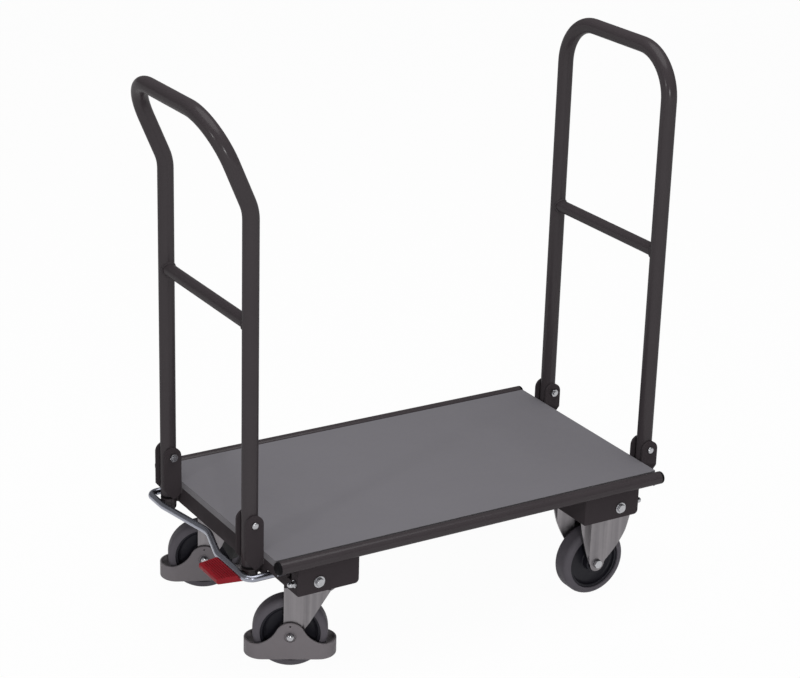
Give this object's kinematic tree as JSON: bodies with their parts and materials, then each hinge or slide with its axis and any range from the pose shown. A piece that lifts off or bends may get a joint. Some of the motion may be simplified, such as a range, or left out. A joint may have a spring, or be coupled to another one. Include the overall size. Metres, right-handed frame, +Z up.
{
  "type": "folding platform cart",
  "caption": "Flat-deck transport cart with a folding tube handle at each end, fixed and swivel casters, toe guards and a foot-operated central brake",
  "frame": {"origin": "on the floor under the middle of the cart's bounding box, wheels standing on Z = 0", "axes": "+Z up, +X towards the nose end with the fixed casters, -X towards the push end with the brake pedal, +Y to the left of whoever pushes"},
  "size_m": [0.8755, 0.462, 0.9705],
  "materials": {
    "frame_paint": "anthracite powder coat, semi-gloss",
    "deck_board": "grey film-coated board, smooth satin",
    "black_plastic": "black moulded plastic",
    "tyre_rubber": "dark grey rubber tread",
    "rim_plastic": "near-black moulded plastic",
    "guard_plastic": "warm grey moulded plastic, fine grain",
    "zinc_sheet": "zinc-plated pressed sheet",
    "zinc_fastener": "bright zinc plate",
    "bright_bar": "bright plated round bar",
    "red_pedal": "red moulded plastic with a ribbed tread"
  },
  "bodies": {
    "frame": {"brake_catch": "black_plastic", "brake_pivot_ears": "zinc_sheet", "brake_pivot_pins": "zinc_fastener", "caster_bolts": "zinc_fastener", "caster_nuts": "zinc_fastener", "deck_panel": "deck_board", "kingpins": "zinc_fastener", "left_side_rail": "frame_paint", "left_swivel_plate": "zinc_sheet", "nose_axles": "zinc_fastener", "nose_crossmember": "frame_paint", "nose_end_rail": "frame_paint", "nose_hinge_lugs": "frame_paint", "nose_left_fork": "zinc_sheet", "nose_left_shoe": "frame_paint", "nose_post_stubs": "frame_paint", "nose_right_fork": "zinc_sheet", "nose_right_shoe": "frame_paint", "pivot_bolts": "zinc_fastener", "pivot_nuts": "zinc_fastener", "push_crossmember": "frame_paint", "push_end_rail": "frame_paint", "push_hinge_lugs": "frame_paint", "push_left_shoe": "frame_paint", "push_post_stubs": "frame_paint", "push_right_shoe": "frame_paint", "rail_plugs": "black_plastic", "right_side_rail": "frame_paint", "right_swivel_plate": "zinc_sheet", "shoe_bolts": "zinc_fastener", "shoe_nuts": "zinc_fastener"},
    "push_handle": {"push_handle_tube": "frame_paint", "push_crossbar": "frame_paint", "push_foot_plugs": "black_plastic"},
    "nose_handle": {"nose_handle_tube": "frame_paint", "nose_crossbar": "frame_paint", "nose_foot_plugs": "black_plastic"},
    "brake": {"brake_bar": "bright_bar", "brake_pedal": "red_pedal", "brake_levers": "zinc_sheet"},
    "right_plunger": {"right_brake_plunger": "zinc_fastener"},
    "left_plunger": {"left_brake_plunger": "zinc_fastener"},
    "right_swivel": {"right_swivel_fork": "zinc_sheet", "right_toe_guard": "guard_plastic", "right_swivel_axle": "zinc_fastener"},
    "left_swivel": {"left_swivel_fork": "zinc_sheet", "left_toe_guard": "guard_plastic", "left_swivel_axle": "zinc_fastener"},
    "push_right_wheel": {"push_right_tyre": "tyre_rubber", "push_right_rim": "rim_plastic", "push_right_bush": "zinc_fastener"},
    "push_left_wheel": {"push_left_tyre": "tyre_rubber", "push_left_rim": "rim_plastic", "push_left_bush": "zinc_fastener"},
    "nose_right_wheel": {"nose_right_tyre": "tyre_rubber", "nose_right_rim": "rim_plastic", "nose_right_bush": "zinc_fastener"},
    "nose_left_wheel": {"nose_left_tyre": "tyre_rubber", "nose_left_rim": "rim_plastic", "nose_left_bush": "zinc_fastener"}
  },
  "joints": [
    {"name": "push_fold", "type": "hinge", "parent": "frame", "child": "push_handle", "pos_m": [-0.36025, 0, 0.278], "axis": [0, 1, 0], "range_deg": [0, 90]},
    {"name": "nose_fold", "type": "hinge", "parent": "frame", "child": "nose_handle", "pos_m": [0.42175, 0, 0.25], "axis": [0, -1, 0], "range_deg": [0, 90]},
    {"name": "brake_press", "type": "hinge", "parent": "frame", "child": "brake", "pos_m": [-0.21525, 0, 0.19], "axis": [0, -1, 0], "range_deg": [0, 5.5]},
    {"name": "right_plunger_slide", "type": "slide", "parent": "frame", "child": "right_plunger", "axis": [0, 0, -1], "range_m": [0, 0.0031]},
    {"name": "left_plunger_slide", "type": "slide", "parent": "frame", "child": "left_plunger", "axis": [0, 0, -1], "range_m": [0, 0.0031]},
    {"name": "right_swivel_turn", "type": "hinge", "parent": "frame", "child": "right_swivel", "pos_m": [-0.24675, -0.16, 0.15], "axis": [0, 0, 1], "continuous": true},
    {"name": "left_swivel_turn", "type": "hinge", "parent": "frame", "child": "left_swivel", "pos_m": [-0.24675, 0.16, 0.15], "axis": [0, 0, 1], "continuous": true},
    {"name": "push_right_spin", "type": "hinge", "parent": "right_swivel", "child": "push_right_wheel", "pos_m": [-0.28018, -0.14193, 0.0625], "axis": [0.4756, 0.8796, 0], "continuous": true},
    {"name": "push_left_spin", "type": "hinge", "parent": "left_swivel", "child": "push_left_wheel", "pos_m": [-0.28141, 0.17558, 0.0625], "axis": [0.4099, 0.9121, 0], "continuous": true},
    {"name": "nose_right_spin", "type": "hinge", "parent": "frame", "child": "nose_right_wheel", "pos_m": [0.30825, -0.16, 0.0625], "axis": [0, 1, 0], "continuous": true},
    {"name": "nose_left_spin", "type": "hinge", "parent": "frame", "child": "nose_left_wheel", "pos_m": [0.30825, 0.16, 0.0625], "axis": [0, 1, 0], "continuous": true}
  ],
  "couplings": [
    {"joint": "right_plunger_slide", "follows": "brake_press", "m_per_rad": 0.0315},
    {"joint": "left_plunger_slide", "follows": "brake_press", "m_per_rad": 0.0315}
  ]
}
